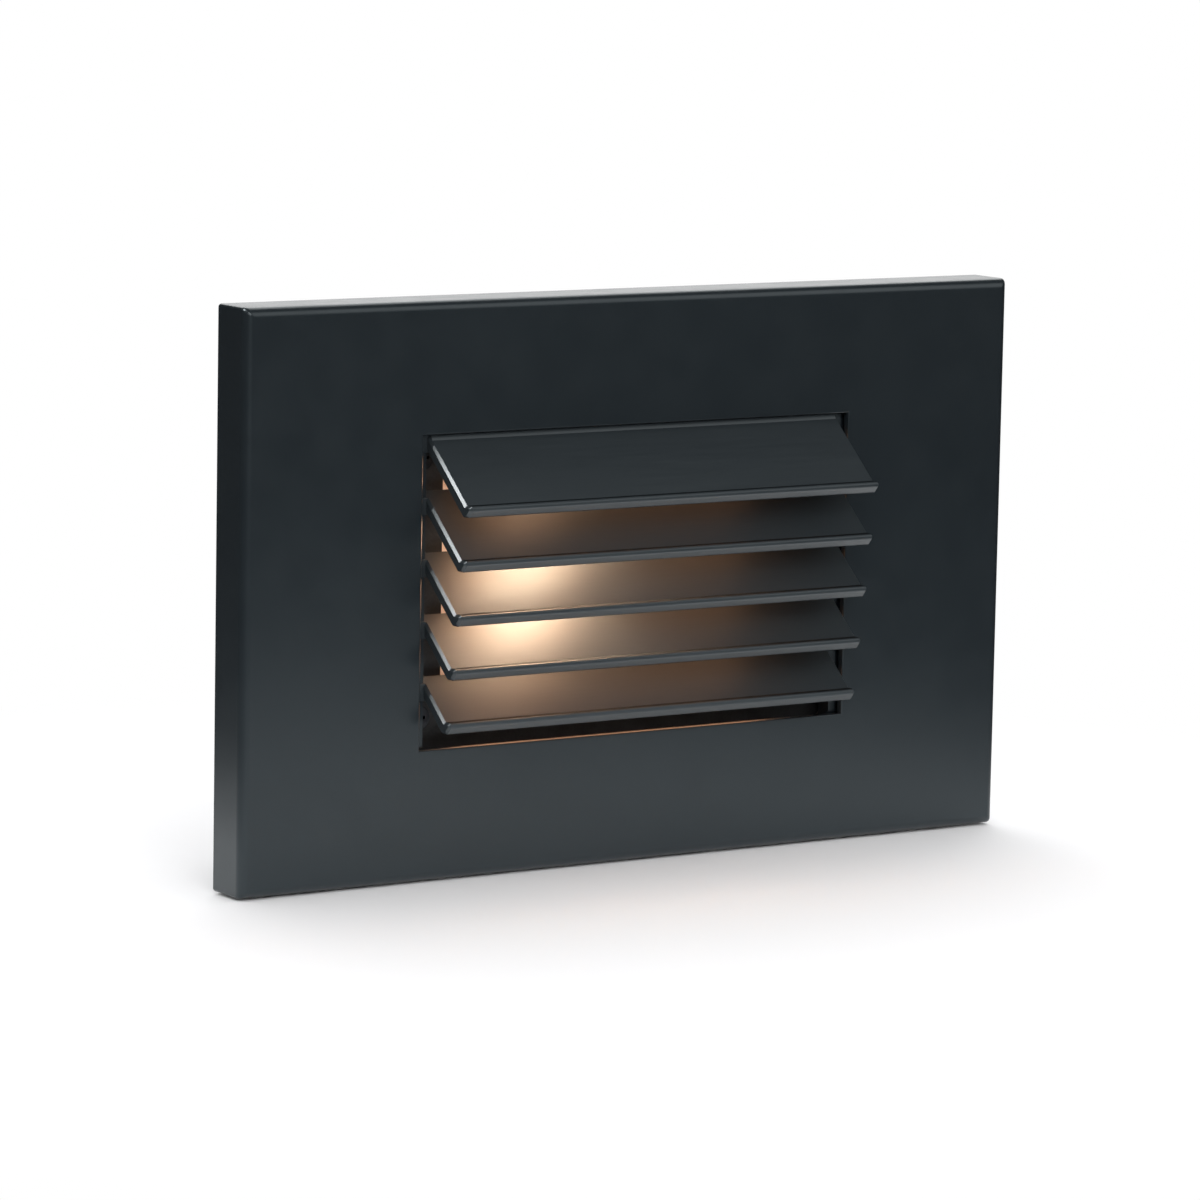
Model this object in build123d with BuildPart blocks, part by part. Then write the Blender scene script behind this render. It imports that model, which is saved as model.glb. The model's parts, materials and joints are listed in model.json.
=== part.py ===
"""Recessed step light with a louvered faceplate, in millimetres.

X runs to the right, Y into the wall and Z up.  The origin lies on the wall plane, midway
between the two screws that hold the light to its junction box.
"""

import os
from math import cos, radians, sin, tan

from build123d import *

os.makedirs("parts", exist_ok=True)

# ---------------------------------------------------------------- driving sizes
# Faceplate: a shallow cast tray, open to the wall
face_w = 127.0
face_h = 80.0
skirt_depth = 7.4
skirt_gap = 0.3  # from the skirt's back edge to the wall
front_wall = 2.0
skirt_wall = 1.8
edge_r = 1.3  # round of the front edges
corner_r = 0.5  # round of the four corners, seen from the front
inner_corner_r = 0.8
open_h = 43.4
open_edge_r = 0.25
open_relief = 1.0  # slope cut round the back of the opening

# Louver blades, each the same section moved down and further in; the top one has a rain lip
blade_count = 5
blade_slope = 40.5  # degrees below level, towards the viewer
blade_t = 1.8
blade_lip = 1.35  # level land on top of the nose
blade_front = 0.7  # height of the upright front of the nose
blade_cut = 1.25  # cut below it, square to the slope
tip_out = 9.9  # how far the top blade stands out of the faceplate
tip_step = 1.15  # how much less each lower blade stands out
blade_rear = 2.4  # from the faceplate's front to the blades' back edges
blade_side_gap = 1.4  # between a blade's end and the side of the opening
top_blade_drop = 1.4  # top blade below the opening's top edge, at the front plane
rain_lip_gap = 0.15  # from the top blade's lip to the opening's top edge
rain_lip_h = 0.7
rain_lip_lean = 0.3  # how far the lip leans back over its height
low_blade_rise = 7.8  # bottom blade above the opening's lower edge, at the front plane
tip_r = 0.4
nose_r = 0.45
blade_bevel_share = 0.82  # bevel of the blades' ends, as a share of the tip's round

# Louver frame: a plate behind the opening, with a slotted cheek at each end of the blades
frame_t = 1.2
frame_band = 5.0
frame_side_band = 2.4
frame_side_room = 0.52  # between the frame and the heads of the box screws
frame_room = 1.1
frame_corner_r = 2.0
frame_screw_inset = 7.5  # from the opening's side to the screws' centres
cheek_front = 1.4  # from the faceplate's front to the cheeks' front edges
cheek_back = 0.8  # how far the cheeks reach behind the frame's plate
tab_rear = 3.4  # from the faceplate's front to the back of the blade tabs

# Housing: flange on the wall, box sunk in the wall, split by a bulkhead
gasket_t = 1.6
flange_t = 1.5
flange_side_room = 2.7  # between flange and skirt, left and right
flange_end_room = 3.2  # between flange and skirt, top and bottom
flange_corner_r = 3.0
can_h = 46.4
can_wall = 2.0
can_corner_r = 2.5
collar_out = 1.6  # how far the collar and the fins stand out from the box
collar_depth = 4.8
fin_t = 1.4
fin_pitch = 7.0
fin_count = 9
bulkhead_t = 2.0
driver_room = 14.2  # depth of the driver chamber
box_screw_pitch = 83.34  # standard spacing of a single-gang junction box
slot_w = 4.2
slot_len = 6.0
slot_web = 1.87  # metal between a slot and the collar

# Clamping of the faceplate on the flange
clamp_inset = 18.5  # from the faceplate's sides to the clamping screws
lug_w = 9.0
lug_h = 3.5
lug_out = 2.3  # how far a lug stands in front of the flange
boss_w = 7.0
boss_h = 2.2
rib_w = 5.0
side_rib_inset = 20.0  # from the faceplate's top and bottom
set_screw_r = 1.45
set_screw_hex = 1.5  # across flats
set_screw_recess = 0.6  # head end above the skirt's lower face
rib_back = 1.0  # from the ribs' back faces to the wall

# Light engine
bezel_t = 1.2
bezel_margin = 0.2
bezel_side = 4.5  # bezel beyond the lens, left and right
bezel_end = 2.5  # bezel beyond the lens, top and bottom
bezel_lip = 1.0  # bezel over the lens's edge
bezel_corner_r = 2.3
bezel_screw_inset = 2.5  # below the lens's top edge
bezel_screw_bite = 5.5  # depth of the screws' holes in the housing
lens_t = 2.0
lens_gasket_t = 1.0
lens_gasket_w = 1.6
ledge_lip = 1.75  # ledge under the lens's edge
reflector_gap = 0.2  # between the lens gasket and the reflector's mouth
reflector_depth = 6.2
reflector_wall = 0.8
reflector_room = 0.15  # between the reflector's mouth and the light chamber
reflector_flare = 61.0  # degrees that the walls lean outwards
led_board_room = 1.75  # between the board and the light chamber
board_t = 1.6
pad_t = 0.5
led_w = 3.5
led_h = 2.8
led_t = 0.7
led_cell_w = 2.7
led_cell_h = 2.0
led_cell_depth = 0.2
led_cols = 6
led_rows = 2
led_pitch_x = 5.6
led_pitch_z = 7.0

# Driver
standoff_h = 2.5
standoff_r = 2.6
board_screw_inset = 2.8  # from the light board's edges
driver_board_side_room = 5.2
driver_board_end_room = 4.2
link_w = 9.0
link_h = 2.6
link_inset = 3.6  # from the light board's lower edge
link_pin = 0.64  # square pins
link_pin_pitch = 2.54
link_pin_count = 3
link_pin_stub = 0.6  # how far the pins stand out of each board
core_w = 13.0
core_h = 12.0
core_t = 7.6
core_leg_w = 2.1
bobbin_w = 15.0
bobbin_h = 13.0
bobbin_t = 1.2
winding_w = 10.4
winding_h = 7.2
winding_t = 6.0
winding_r = 1.8
winding_window_h = 9.0
transformer_x = 1.0
transformer_z = 3.0
capacitor_r = 3.15
capacitor_t = 8.6
capacitor_bevel = 0.5
capacitor_inset = 5.0  # from the board's top and bottom edges to the cans' centres
left_capacitor_x = -10.5
right_capacitor_inset = 14.0  # from the board's right edge
drum_inset = 8.0  # from the board's right edge
drum_z = 6.0
drum_r = 3.6
drum_waist_r = 2.9
drum_t = 6.4
drum_rim = 1.2
chip_x = 1.5
chip_rise = 3.5  # above the link's pins
chip_w = 5.0
chip_h = 4.0
bridge_inset = 7.5  # from the board's right edge
bridge_z = -1.8
chip_t = 1.8
chip_bevel = 0.3
terminal_w = 9.0
terminal_h = 14.0
terminal_inset = 8.0  # from the board's left edge to the block's middle
terminal_t = 6.6
terminal_ways = 3
terminal_well_r = 1.5
terminal_well_x = 1.8  # left of the block's middle
terminal_entry_x = 2.4  # right of the block's middle
terminal_entry_w = 2.0
terminal_entry_h = 3.0
terminal_depth = 4.0

# Rear cover
rear_gasket_t = 1.0
cover_t = 2.0
cover_rib_h = 0.8
cover_rib_w = 1.6
cover_rib_count = 3
cover_screw_inset = 3.6
cover_boss_r = 3.0
cover_screw_bite = 8.0  # depth of the screws' holes in the housing
grommet_hole_r = 5.0
grommet_bore_r = 3.2
grommet_lip_r = 6.6
grommet_lip_t = 1.4
grommet_taper = 0.8  # how much the outer lip narrows
earth_inset = 15.0  # from the box's right side
earth_boss_r = 4.2
earth_boss_h = 1.6

# Fasteners: head radius, head height, shank radius
pan_m25 = (2.2, 1.0, 1.2)
pan_m2 = (1.9, 1.1, 1.0)
pan_box = (3.45, 2.2, 1.5)  # down to the neck under the head
box_thread_r = 1.75
pan_earth = (3.5, 2.4, 1.9)
flat_m2 = (1.7, 0.9, 1.0)
box_screw_reach = 16.0  # how far the junction box screws go behind the wall plane
head_bevel = 0.35  # share of a pan head's height
cross_length = 1.2  # cross recess, in head radii
cross_width = 0.28
cross_depth = 0.5  # share of the head's height
set_screw_bevel = 0.5

# Clearances
slide_clear = 0.2  # parts that slot together
thread_clear = 0.05  # screws in their own holes
tab_clear = 0.1  # blade tabs in their slots
seat_clear = 0.05  # set screw's tip under its lug
set_screw_clear = 0.15
blind_floor = 0.5  # metal left at the end of a blind hole
hole_spare = 0.1  # blind holes are this much longer than their screws
gasket_inset = 0.5  # wall gasket's edge behind the flange's edge
collar_clear = 0.4  # between the collar and the wall gasket

# ---------------------------------------------------------------- places that follow
face_front = -(skirt_gap + skirt_depth)
face_inside = face_front + front_wall
inner_w = face_w - 2 * skirt_wall
inner_h = face_h - 2 * skirt_wall
clamp_x = face_w / 2 - clamp_inset
side_rib_z = face_h / 2 - side_rib_inset

# The louver frame fills the room between the box screws, and the opening follows it
frame_w = box_screw_pitch - 2 * (pan_box[0] + frame_side_room)
cheek_out = frame_w / 2 - frame_side_band
open_w = 2 * (cheek_out + slide_clear)

slope = radians(blade_slope)
top_blade_z = open_h / 2 - top_blade_drop
low_blade_z = -open_h / 2 + low_blade_rise
blade_pitch = (top_blade_z - low_blade_z) / (blade_count - 1)
blade_half = open_w / 2 - blade_side_gap
blade_end_bevel = tip_r * blade_bevel_share
cheek_in = blade_half + tab_clear
frame_back = face_inside + frame_t
frame_open_h = open_h + 2 * (open_relief + frame_room)
frame_h = frame_open_h + 2 * frame_band
frame_screw_x = open_w / 2 - frame_screw_inset
frame_screw_z = frame_open_h / 2 + frame_band / 2

flange_w = inner_w - 2 * flange_side_room
flange_h = inner_h - 2 * flange_end_room
flange_back = -gasket_t
flange_front = flange_back - flange_t
box_screw_x = box_screw_pitch / 2
lug_low = -flange_h / 2

collar_w = box_screw_pitch - slot_len - 2 * slot_web
can_w = collar_w - 2 * collar_out
collar_h = can_h + 2 * collar_out
bezel_w = can_w - 2 * bezel_margin
bezel_h = can_h - 2 * bezel_margin
lens_w = bezel_w - 2 * bezel_side
lens_h = bezel_h - 2 * bezel_end
window_w = lens_w - 2 * bezel_lip
window_h = lens_h - 2 * bezel_lip
ledge_w = lens_w - 2 * ledge_lip
ledge_h = lens_h - 2 * ledge_lip
led_board_w = ledge_w - 2 * led_board_room
led_board_h = ledge_h - 2 * led_board_room

bezel_seat = flange_front + bezel_t
lens_back = bezel_seat + lens_t
ledge = lens_back + lens_gasket_t
reflector_mouth = ledge + reflector_gap
led_board_front = reflector_mouth + reflector_depth
led_board_back = led_board_front + board_t
bulkhead_front = led_board_back + pad_t
bulkhead_back = bulkhead_front + bulkhead_t
driver_board_front = bulkhead_back + standoff_h
driver_board_back = driver_board_front + board_t
can_back = bulkhead_back + driver_room
cover_front = can_back + rear_gasket_t
cover_back = cover_front + cover_t
collar_back = flange_back + collar_depth
chamber_w = can_w - 2 * can_wall
chamber_h = can_h - 2 * can_wall
cover_screw_x = can_w / 2 - cover_screw_inset
cover_screw_z = can_h / 2 - cover_screw_inset
bezel_screw_x = (lens_w + bezel_w) / 4 + slide_clear / 2
bezel_screw_z = lens_h / 2 - bezel_screw_inset
board_screw_x = led_board_w / 2 - board_screw_inset
board_screw_z = led_board_h / 2 - board_screw_inset
link_z = led_board_h / 2 - link_inset

# What stands on the driver board, and the cable entry behind its terminals
driver_board_w = chamber_w - 2 * driver_board_side_room
driver_board_h = chamber_h - 2 * driver_board_end_room
grommet_x = driver_board_w / 2 - terminal_inset
earth_x = can_w / 2 - earth_inset
transformer_spot = (transformer_x, transformer_z)
drum_spot = (driver_board_w / 2 - drum_inset, drum_z)
chip_spot = (chip_x, chip_rise - link_z)
bridge_spot = (driver_board_w / 2 - bridge_inset, bridge_z)
capacitor_z = driver_board_h / 2 - capacitor_inset
capacitor_spots = [
    (left_capacitor_x, capacitor_z),
    (left_capacitor_x, -capacitor_z),
    (driver_board_w / 2 - right_capacitor_inset, -capacitor_z),
]

frame_points = [(i * frame_screw_x, j * frame_screw_z) for i in (-1, 1) for j in (-1, 1)]
bezel_points = [(i * bezel_screw_x, j * bezel_screw_z) for i in (-1, 1) for j in (-1, 1)]
board_points = [(i * board_screw_x, i * board_screw_z) for i in (-1, 1)]
cover_points = [(i * cover_screw_x, j * cover_screw_z) for i in (-1, 1) for j in (-1, 1)]
box_points = [(-box_screw_x, 0), (box_screw_x, 0)]


def at_y(y):
    """The plane at depth y that faces the viewer, with X to the right and Z up in it."""
    return Plane.XZ.offset(-y)


def pan_screws(points, seat, size, length, facing):
    """Pan head screws with a cross recess; facing is 1 towards the viewer, -1 towards the wall."""
    head_r, head_t, shank_r = size
    with BuildPart() as group:
        with BuildSketch(at_y(seat)):
            with Locations(*points):
                Circle(head_r)
        extrude(amount=facing * head_t)
        outer = group.faces().filter_by(Axis.Y).group_by(Axis.Y)[0 if facing > 0 else -1]
        chamfer(outer.edges(), head_t * head_bevel)
        with BuildSketch(at_y(seat)):
            with Locations(*points):
                Circle(shank_r)
        extrude(amount=-facing * length)
        with BuildSketch(at_y(seat - facing * head_t)):
            with Locations(*points):
                Rectangle(head_r * cross_length, head_r * cross_width)
                Rectangle(head_r * cross_width, head_r * cross_length)
        extrude(amount=-facing * head_t * cross_depth, mode=Mode.SUBTRACT)
    return group.part


def flat_screws(points, seat, size, length):
    """Countersunk screws, flush with the plane at depth seat and facing the viewer."""
    head_r, head_t, shank_r = size
    with BuildPart() as group:
        with BuildSketch(at_y(seat + head_t)):
            with Locations(*points):
                Circle(shank_r)
        extrude(amount=-(length - head_t))
        with Locations(*[at_y(seat + head_t / 2).from_local_coords(p) for p in points]):
            Cone(shank_r, head_r, head_t, rotation=(90, 0, 0))
        with BuildSketch(at_y(seat)):
            with Locations(*points):
                Rectangle(head_r * cross_length, head_r * cross_width)
                Rectangle(head_r * cross_width, head_r * cross_length)
        extrude(amount=-head_t * cross_depth, mode=Mode.SUBTRACT)
    return group.part


def blade_points(z_top, tip):
    """Corners of a blade's section, as depth and height, from the top back edge forwards."""
    elbow_z = z_top - (tip - blade_lip) * tan(slope)
    under = blade_t / cos(slope)
    front_z = elbow_z - blade_front
    nose_z = front_z - blade_cut * cos(slope)
    land_out = (z_top - under - nose_z) / tan(slope)
    outline = [
        (-blade_rear, z_top + blade_rear * tan(slope)),
        (tip - blade_lip, elbow_z),
        (tip, elbow_z),
        (tip, front_z),
        (tip - blade_cut * sin(slope), nose_z),
        (land_out, nose_z),
        (-blade_rear, z_top - under + blade_rear * tan(slope)),
    ]
    return [(face_front - out, z) for out, z in outline]


def rain_lip_points(z_top):
    """Corners of the lip on the top blade's slope, just inside the opening's top edge."""
    lip_z = open_h / 2 - rain_lip_gap
    rear = face_front + (lip_z - z_top) / tan(slope)
    foot = rear - rain_lip_h / tan(slope)
    return [(foot, lip_z - rain_lip_h), (foot + rain_lip_lean, lip_z), (rear, lip_z)]


def tab_points(z_top, grow):
    """Corners of the tab at a blade's end, grown all round for its slot."""
    under = blade_t / cos(slope)
    front = -cheek_front + grow
    rear = -(tab_rear + grow)
    outline = [
        (front, z_top - front * tan(slope) + grow),
        (front, z_top - front * tan(slope) - under - grow),
        (rear, z_top - rear * tan(slope) - under - grow),
        (rear, z_top - rear * tan(slope) + grow),
    ]
    return [(face_front - out, z) for out, z in outline]


blade_tops = [top_blade_z - blade_pitch * i for i in range(blade_count)]

# ---------------------------------------------------------------- faceplate
with BuildPart() as faceplate:
    with BuildSketch(at_y(-skirt_gap)):
        Rectangle(face_w, face_h)
    extrude(amount=skirt_depth)
    fillet(faceplate.edges().filter_by(Axis.Y), corner_r)
    fillet(faceplate.faces().sort_by(Axis.Y)[0].edges(), edge_r)
    with BuildSketch(at_y(-skirt_gap)):
        RectangleRounded(inner_w, inner_h, inner_corner_r)
    extrude(amount=skirt_depth - front_wall, mode=Mode.SUBTRACT)

    # Opening, with a rounded front edge and a sloped back edge
    with BuildSketch(at_y(face_inside)):
        Rectangle(open_w, open_h)
    extrude(amount=front_wall, mode=Mode.SUBTRACT)
    front_face = faceplate.faces().filter_by(Axis.Y).sort_by(Axis.Y)[0]
    fillet(front_face.inner_wires()[0].edges(), open_edge_r)
    with BuildSketch(at_y(face_inside)):
        Rectangle(open_w + 2 * open_relief, open_h + 2 * open_relief)
    extrude(amount=open_relief, taper=45, mode=Mode.SUBTRACT)

    # Ribs that centre the tray on the flange, at the top and at both sides
    top_rib_h = inner_h / 2 - flange_h / 2 - slide_clear
    side_rib_h = inner_w / 2 - flange_w / 2 - slide_clear
    with BuildSketch(at_y(-rib_back)):
        with Locations((-clamp_x, inner_h / 2), (clamp_x, inner_h / 2)):
            Rectangle(rib_w, top_rib_h, align=(Align.CENTER, Align.MAX))
        with Locations((inner_w / 2, -side_rib_z), (inner_w / 2, side_rib_z)):
            Rectangle(side_rib_h, rib_w, align=(Align.MAX, Align.CENTER))
        with Locations((-inner_w / 2, -side_rib_z), (-inner_w / 2, side_rib_z)):
            Rectangle(side_rib_h, rib_w, align=(Align.MIN, Align.CENTER))
        # Bosses that the two clamping screws run through
        with Locations((-clamp_x, -inner_h / 2), (clamp_x, -inner_h / 2)):
            Rectangle(boss_w, boss_h, align=(Align.CENTER, Align.MIN))
    extrude(amount=-rib_back - face_inside)
    set_screw_y = (flange_back + flange_front - lug_out) / 2
    with BuildSketch(Plane.XY.offset(-face_h / 2)):
        with Locations((-clamp_x, set_screw_y), (clamp_x, set_screw_y)):
            Circle(set_screw_r + set_screw_clear)
    extrude(amount=skirt_wall + boss_h, mode=Mode.SUBTRACT)

    # Blind holes for the screws that hold the louver frame
    frame_screw_bite = front_wall - blind_floor
    with BuildSketch(at_y(face_inside)):
        with Locations(*frame_points):
            Circle(pan_m25[2] + thread_clear)
    extrude(amount=frame_screw_bite, mode=Mode.SUBTRACT)

faceplate.part.label = "faceplate"
export_step(faceplate.part, "parts/faceplate.step")

# ---------------------------------------------------------------- louver frame
with BuildPart() as louver_frame:
    with BuildSketch(at_y(frame_back)):
        RectangleRounded(frame_w, frame_h, frame_corner_r)
        Rectangle(2 * cheek_in, frame_open_h, mode=Mode.SUBTRACT)
        with Locations(*frame_points):
            Circle(pan_m25[2] + 2 * thread_clear, mode=Mode.SUBTRACT)
    extrude(amount=frame_t)

    # Cheeks: the part inside the opening is lower than the part behind it
    cheek_t = cheek_out - cheek_in
    cheek_x = (cheek_in + cheek_out) / 2
    with BuildSketch(at_y(frame_back + cheek_back)):
        with Locations((-cheek_x, 0), (cheek_x, 0)):
            Rectangle(cheek_t, frame_open_h)
    extrude(amount=cheek_back + frame_t)
    with BuildSketch(at_y(face_inside)):
        with Locations((-cheek_x, 0), (cheek_x, 0)):
            Rectangle(cheek_t, open_h - 2 * slide_clear)
    extrude(amount=front_wall - cheek_front)

    # Slots for the blade tabs, open at the front
    for side in (-1, 1):
        for z_top in blade_tops:
            with BuildSketch(Plane.YZ.offset(side * cheek_in)):
                with BuildLine():
                    Polyline(*tab_points(z_top, tab_clear), close=True)
                make_face()
            extrude(amount=side * cheek_t, mode=Mode.SUBTRACT)

louver_frame.part.label = "louver_frame"
export_step(louver_frame.part, "parts/louver_frame.step")

# ---------------------------------------------------------------- louver blades
for number, z_top in enumerate(blade_tops, start=1):
    tip = tip_out - tip_step * (number - 1)
    with BuildPart() as blade:
        with BuildSketch(Plane.YZ):
            with BuildLine():
                Polyline(*blade_points(z_top, tip), close=True)
            make_face()
        extrude(amount=blade_half, both=True)
        fillet(blade.edges().filter_by(Axis.X).group_by(Axis.Y)[0], tip_r)
        fillet(blade.edges().filter_by(Axis.X).sort_by(Axis.Z)[0], nose_r)
        ends = blade.faces().filter_by(Axis.X)
        chamfer(ends.edges(), blade_end_bevel)
        if number == 1:
            with BuildSketch(Plane.YZ):
                with BuildLine():
                    Polyline(*rain_lip_points(z_top), close=True)
                make_face()
            extrude(amount=blade_half - blade_end_bevel, both=True)
        for side in (-1, 1):
            with BuildSketch(Plane.YZ.offset(side * (cheek_out - tab_clear))):
                with BuildLine():
                    Polyline(*tab_points(z_top, 0), close=True)
                make_face()
            extrude(amount=-side * (cheek_out - tab_clear - blade_half + 2 * blade_end_bevel))
    blade.part.label = f"louver_blade_{number}"
    export_step(blade.part, f"parts/louver_blade_{number}.step")

# ---------------------------------------------------------------- louver screws
with BuildPart() as louver_screws:
    add(pan_screws(frame_points, frame_back, pan_m25, frame_t + frame_screw_bite - hole_spare, -1))

louver_screws.part.label = "louver_screws"
export_step(louver_screws.part, "parts/louver_screws.step")

# ---------------------------------------------------------------- set screws
for side, name in ((-1, "set_screw_left"), (1, "set_screw_right")):
    screw_low = -face_h / 2 + set_screw_recess
    screw_top = lug_low - seat_clear
    with BuildPart() as set_screw:
        with BuildSketch(Plane.XY.offset(screw_low)):
            with Locations((side * clamp_x, set_screw_y)):
                Circle(set_screw_r)
        extrude(amount=screw_top - screw_low)
        chamfer(set_screw.faces().sort_by(Axis.Z)[-1].edges(), set_screw_bevel)
        with BuildSketch(Plane.XY.offset(screw_low)):
            with Locations((side * clamp_x, set_screw_y)):
                RegularPolygon(set_screw_hex / 2, 6, major_radius=False)
        extrude(amount=set_screw_hex, mode=Mode.SUBTRACT)
    set_screw.part.label = name
    export_step(set_screw.part, f"parts/{name}.step")

# ---------------------------------------------------------------- housing
with BuildPart() as housing:
    with BuildSketch(at_y(flange_back)):
        RectangleRounded(flange_w, flange_h, flange_corner_r)
        with Locations(*box_points):
            SlotOverall(slot_len, slot_w, mode=Mode.SUBTRACT)
    extrude(amount=flange_t)
    with BuildSketch(at_y(collar_back)):
        RectangleRounded(collar_w, collar_h, can_corner_r)
    extrude(amount=collar_depth)
    with BuildSketch(at_y(can_back)):
        RectangleRounded(can_w, can_h, can_corner_r)
    extrude(amount=can_back - collar_back)
    # Cooling fins along the top and the bottom of the box
    with BuildSketch(at_y(can_back)):
        with GridLocations(fin_pitch, 0, fin_count, 1):
            Rectangle(fin_t, collar_h)
    extrude(amount=can_back - collar_back)

    # Lugs that the clamping screws press against
    with BuildSketch(at_y(flange_front)):
        with Locations((-clamp_x, lug_low), (clamp_x, lug_low)):
            Rectangle(lug_w, lug_h, align=(Align.CENTER, Align.MIN))
    extrude(amount=lug_out)

    # Front pockets: bezel, then lens and gasket, then the light chamber
    with BuildSketch(at_y(bezel_seat)):
        RectangleRounded(can_w, can_h, bezel_corner_r + bezel_margin)
    extrude(amount=bezel_t, mode=Mode.SUBTRACT)
    with BuildSketch(at_y(ledge)):
        Rectangle(lens_w + 2 * slide_clear, lens_h + 2 * slide_clear)
    extrude(amount=ledge - bezel_seat, mode=Mode.SUBTRACT)
    with BuildSketch(at_y(bulkhead_front)):
        Rectangle(ledge_w, ledge_h)
    extrude(amount=bulkhead_front - ledge, mode=Mode.SUBTRACT)

    # Driver chamber behind the bulkhead, with screw bosses and standoffs
    with BuildSketch(at_y(can_back)):
        RectangleRounded(chamber_w, chamber_h, inner_corner_r)
    extrude(amount=driver_room, mode=Mode.SUBTRACT)
    with BuildSketch(at_y(cover_front)):
        with Locations(*cover_points):
            Circle(cover_boss_r)
        Rectangle(chamber_w, chamber_h, mode=Mode.INTERSECT)
    extrude(amount=cover_front - bulkhead_back)
    with BuildSketch(at_y(driver_board_front)):
        with Locations(*board_points):
            Circle(standoff_r)
    extrude(amount=standoff_h)

    # Screw holes, and the window in the bulkhead for the board link
    led_screw_bite = bulkhead_t - hole_spare
    driver_screw_bite = standoff_h - blind_floor
    with BuildSketch(at_y(bezel_seat)):
        with Locations(*bezel_points):
            Circle(flat_m2[2] + thread_clear)
    extrude(amount=-bezel_screw_bite, mode=Mode.SUBTRACT)
    with BuildSketch(at_y(cover_front)):
        with Locations(*cover_points):
            Circle(pan_m25[2] + thread_clear)
    extrude(amount=cover_screw_bite, mode=Mode.SUBTRACT)
    with BuildSketch(at_y(bulkhead_front)):
        with Locations(*board_points):
            Circle(pan_m2[2] + thread_clear)
    extrude(amount=-led_screw_bite, mode=Mode.SUBTRACT)
    with BuildSketch(at_y(driver_board_front)):
        with Locations(*board_points):
            Circle(pan_m2[2] + thread_clear)
    extrude(amount=driver_screw_bite, mode=Mode.SUBTRACT)
    with BuildSketch(at_y(bulkhead_back)):
        with Locations((0, -link_z)):
            Rectangle(link_w + 2 * slide_clear, link_h + 2 * slide_clear)
    extrude(amount=bulkhead_t, mode=Mode.SUBTRACT)

housing.part.label = "housing"
export_step(housing.part, "parts/housing.step")

# ---------------------------------------------------------------- wall gasket
with BuildPart() as wall_gasket:
    with BuildSketch(at_y(0)):
        RectangleRounded(flange_w - 2 * gasket_inset, flange_h - 2 * gasket_inset, flange_corner_r)
        Rectangle(collar_w + 2 * collar_clear, collar_h + 2 * collar_clear, mode=Mode.SUBTRACT)
        with Locations(*box_points):
            SlotOverall(slot_len, slot_w, mode=Mode.SUBTRACT)
    extrude(amount=gasket_t)

wall_gasket.part.label = "wall_gasket"
export_step(wall_gasket.part, "parts/wall_gasket.step")

# ---------------------------------------------------------------- junction box screws
with BuildPart() as junction_box_screws:
    add(pan_screws(box_points, flange_front, pan_box, -flange_front, 1))
    with BuildSketch(at_y(0)):
        with Locations(*box_points):
            Circle(box_thread_r)
    extrude(amount=-box_screw_reach)

junction_box_screws.part.label = "junction_box_screws"
export_step(junction_box_screws.part, "parts/junction_box_screws.step")

# ---------------------------------------------------------------- lens bezel
with BuildPart() as lens_bezel:
    with BuildSketch(at_y(bezel_seat)):
        RectangleRounded(bezel_w, bezel_h, bezel_corner_r)
        RectangleRounded(window_w, window_h, inner_corner_r, mode=Mode.SUBTRACT)
    extrude(amount=bezel_t)
    with BuildSketch(at_y(bezel_seat)):
        with Locations(*bezel_points):
            Circle(flat_m2[2] + thread_clear)
    extrude(amount=bezel_t, mode=Mode.SUBTRACT)
    head_middle = at_y(flange_front + flat_m2[1] / 2)
    with Locations(*[head_middle.from_local_coords(p) for p in bezel_points]):
        Cone(
            flat_m2[2] + thread_clear,
            flat_m2[0] + thread_clear,
            flat_m2[1],
            rotation=(90, 0, 0),
            mode=Mode.SUBTRACT,
        )

lens_bezel.part.label = "lens_bezel"
export_step(lens_bezel.part, "parts/lens_bezel.step")

with BuildPart() as lens_bezel_screws:
    add(flat_screws(bezel_points, flange_front, flat_m2, bezel_t + bezel_screw_bite - hole_spare))

lens_bezel_screws.part.label = "lens_bezel_screws"
export_step(lens_bezel_screws.part, "parts/lens_bezel_screws.step")

# ---------------------------------------------------------------- lens and its gasket
with BuildPart() as lens:
    with BuildSketch(at_y(lens_back)):
        RectangleRounded(lens_w, lens_h, inner_corner_r)
    extrude(amount=lens_t)

lens.part.label = "lens"
export_step(lens.part, "parts/lens.step")

with BuildPart() as lens_gasket:
    with BuildSketch(at_y(ledge)):
        Rectangle(lens_w, lens_h)
        Rectangle(lens_w - 2 * lens_gasket_w, lens_h - 2 * lens_gasket_w, mode=Mode.SUBTRACT)
    extrude(amount=lens_gasket_t)

lens_gasket.part.label = "lens_gasket"
export_step(lens_gasket.part, "parts/lens_gasket.step")

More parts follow.
